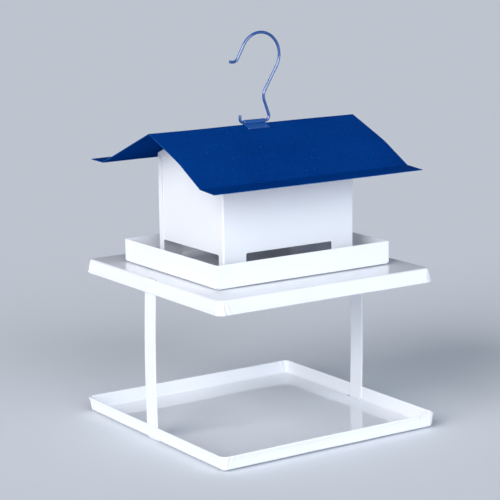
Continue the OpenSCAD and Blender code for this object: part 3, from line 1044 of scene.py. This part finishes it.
def add_nut(bm, low, high):
    """Hexagon nut with chamfered corners on both faces and a countersunk plain bore."""
    around = 72
    face = NUT_FLAT - 0.1
    mouth = NUT_BORE + NUT_SINK

    def hexagon(angle):
        """The hexagon's radius at an angle."""
        return NUT_FLAT / math.cos((angle + math.pi / 6) % (math.pi / 3) - math.pi / 6)

    def bevel(z, inward):
        """The height of a face's 30 degree chamfer, as a function of the radius."""
        return lambda angle, r: z + inward * max(0, r - face) * math.tan(math.radians(30))

    def rim(shrink):
        """The hexagon with its corners cut to a circle."""
        return lambda angle: min(hexagon(angle), NUT_FLAT + 0.48) - shrink

    outline = [(mouth, low), (face, low), (rim(0.04), bevel(low, 1)),
               (rim(0), bevel(low + 0.05, 1)), (rim(0), bevel(high - 0.05, -1)),
               (rim(0.04), bevel(high, -1)), (face, high), (mouth, high),
               (NUT_BORE, high - NUT_SINK), (NUT_BORE, low + NUT_SINK), (mouth, low)]
    add_rings(bm, [ring(around, r, z) for r, z in outline])


def at_screws(bm, turn=0.0):
    """Copies one fastener, built on the Z axis, to the four screws, each turned a little more."""
    made = bm.verts[:] + bm.edges[:] + bm.faces[:]
    for number, (x, y) in enumerate(((-1, -1), (1, -1), (-1, 1), (1, 1))):
        verts = verts_of(bmesh.ops.duplicate(bm, geom=made)["geom"])
        spin(bm, verts, turn * number)
        bmesh.ops.translate(bm, verts=verts, vec=(x * SCREW_X, y * SCREW_Y, 0))
    bmesh.ops.delete(bm, geom=verts_of(made), context="VERTS")


def fasteners(name, node, add, material, slot, turn=0.0, **sizes):
    """The group of four equal fasteners that stands for one CAD node."""
    low, high = span(node)
    bm = bmesh.new()
    add(bm, low.z, high.z, **sizes)
    at_screws(bm, turn)
    weld(bm)
    piece = new_piece(name, bm, "base", node, [material])
    piece.data.set_sharp_from_angle(angle=math.radians(35))
    flat_shading(piece)


def finish_cad_node(node, material):
    """Keeps a CAD node as it is and gives it a material."""
    piece = frame["nodes"][node]
    piece.data.materials.clear()
    piece.data.materials.append(material)


# ------------------------------------------------------------------ studio

# These four are in metres
FLOOR_HALF = 90
FLOOR_GAP = 0.0005
CAMERA_TARGET = (-0.00875, 0, 0.21236)
CAMERA_DISTANCE = 2.208

CAMERA_AZIMUTH = math.radians(-33.54)
CAMERA_ELEVATION = math.radians(11.21)
CAMERA_ROLL = math.radians(-0.78)
CAMERA_LENS = 131.97
FLOOR_COLOUR = (0.75, 0.78, 0.83, 1)
KEY_COLOUR = (1, 0.99, 0.98)
FRONT_COLOUR = (0.89, 0.94, 1)
SKY_COLOUR = (0.62, 0.77, 1, 1)
SKY_STRENGTH = 0.14


def clear_defaults():
    """Removes what the start-up file holds besides the frame."""
    kept = set(frame["nodes"].values()) | set(frame["bodies"].values())
    for thing in list(bpy.data.objects):
        if thing not in kept:
            bpy.data.objects.remove(thing)


def studio_floor():
    """Plain pale floor just under the object."""
    mesh = bpy.data.meshes.new("studio_floor")
    bm = bmesh.new()
    bmesh.ops.create_grid(bm, x_segments=1, y_segments=1, size=FLOOR_HALF)
    bm.to_mesh(mesh)
    bm.free()
    floor = bpy.data.objects.new("studio_floor", mesh)
    floor.location.z = -FLOOR_GAP
    bpy.context.scene.collection.objects.link(floor)
    material = bpy.data.materials.new("studio_floor")
    material.use_nodes = True
    shader = material.node_tree.nodes["Principled BSDF"]
    shader.inputs["Base Color"].default_value = FLOOR_COLOUR
    shader.inputs["Roughness"].default_value = 0.9
    mesh.materials.append(material)


def wide_light(name, toward, strength, spread, colour):
    """Soft light that is equally strong everywhere and comes from the given direction."""
    light = bpy.data.lights.new(name, "SUN")
    light.angle = math.radians(spread)
    light.energy = strength
    light.color = colour
    lamp = bpy.data.objects.new(name, light)
    lamp.rotation_mode = "QUATERNION"
    lamp.rotation_quaternion = Vector(toward).to_track_quat("Z", "Y")
    bpy.context.scene.collection.objects.link(lamp)


def studio_light():
    """Strong low light from the left, weaker light from the front and dim light all round."""
    wide_light("key", toward=(-0.86, -0.24, 0.46), strength=2.6, spread=44, colour=KEY_COLOUR)
    wide_light("front", toward=(-0.16, -0.94, 0.34), strength=2.35, spread=54,
               colour=FRONT_COLOUR)
    world = bpy.data.worlds.new("studio")
    world.use_nodes = True
    background = world.node_tree.nodes["Background"]
    background.inputs["Color"].default_value = SKY_COLOUR
    background.inputs["Strength"].default_value = SKY_STRENGTH
    bpy.context.scene.world = world


def camera():
    """The viewpoint: a long lens from the front left, slightly above the platform."""
    level = Vector((math.cos(CAMERA_AZIMUTH), math.sin(CAMERA_AZIMUTH), 0))
    away = Vector((math.sin(CAMERA_AZIMUTH), -math.cos(CAMERA_AZIMUTH), 0))
    back = away * math.cos(CAMERA_ELEVATION) + Vector((0, 0, math.sin(CAMERA_ELEVATION)))
    upright = back.cross(level)
    right = level * math.cos(CAMERA_ROLL) + upright * math.sin(CAMERA_ROLL)
    up = upright * math.cos(CAMERA_ROLL) - level * math.sin(CAMERA_ROLL)
    data = bpy.data.cameras.new("camera")
    data.lens = CAMERA_LENS
    data.sensor_width = 36
    data.clip_start, data.clip_end = 0.05, 200
    viewer = bpy.data.objects.new("camera", data)
    turn = Matrix((right, up, back)).transposed().to_4x4()
    viewer.matrix_world = Matrix.Translation(Vector(CAMERA_TARGET) + back * CAMERA_DISTANCE) @ turn
    bpy.context.scene.collection.objects.link(viewer)
    bpy.context.scene.camera = viewer


# ------------------------------------------------------------------ scene

clear_defaults()
camera()
fruit_tray()
platform()
strap("strap_left_bent", "strap_left", -1)
strap("strap_right_bent", "strap_right", 1)
seed_tray()
hopper_half("hopper_front_sheet", "hopper_half_front", back=False)
hopper_half("hopper_back_sheet", "hopper_half_back", back=True)
roof_sheet()
hook_saddle()
hook_wire()
for rail in ("roof_rail_front", "roof_rail_back"):
    finish_cad_node(rail, BLUE[2])
fasteners("clamp_screw_group", "clamp_screws", add_screw, ZINC, "zinc_steel", turn=0.7)
fasteners("nut_washer_group", "nut_washers", add_washer, ZINC, "zinc_steel", inner=2.2, outer=4.5)
fasteners("clamp_nut_group", "clamp_nuts", add_nut, ZINC, "zinc_steel")
fasteners("tray_spacer_group", "tray_spacers", add_washer, NYLON, "spacer_plastic", inner=2.2,
          outer=6.0)
studio_floor()
studio_light()
bpy.context.scene.view_settings.view_transform = "Standard"
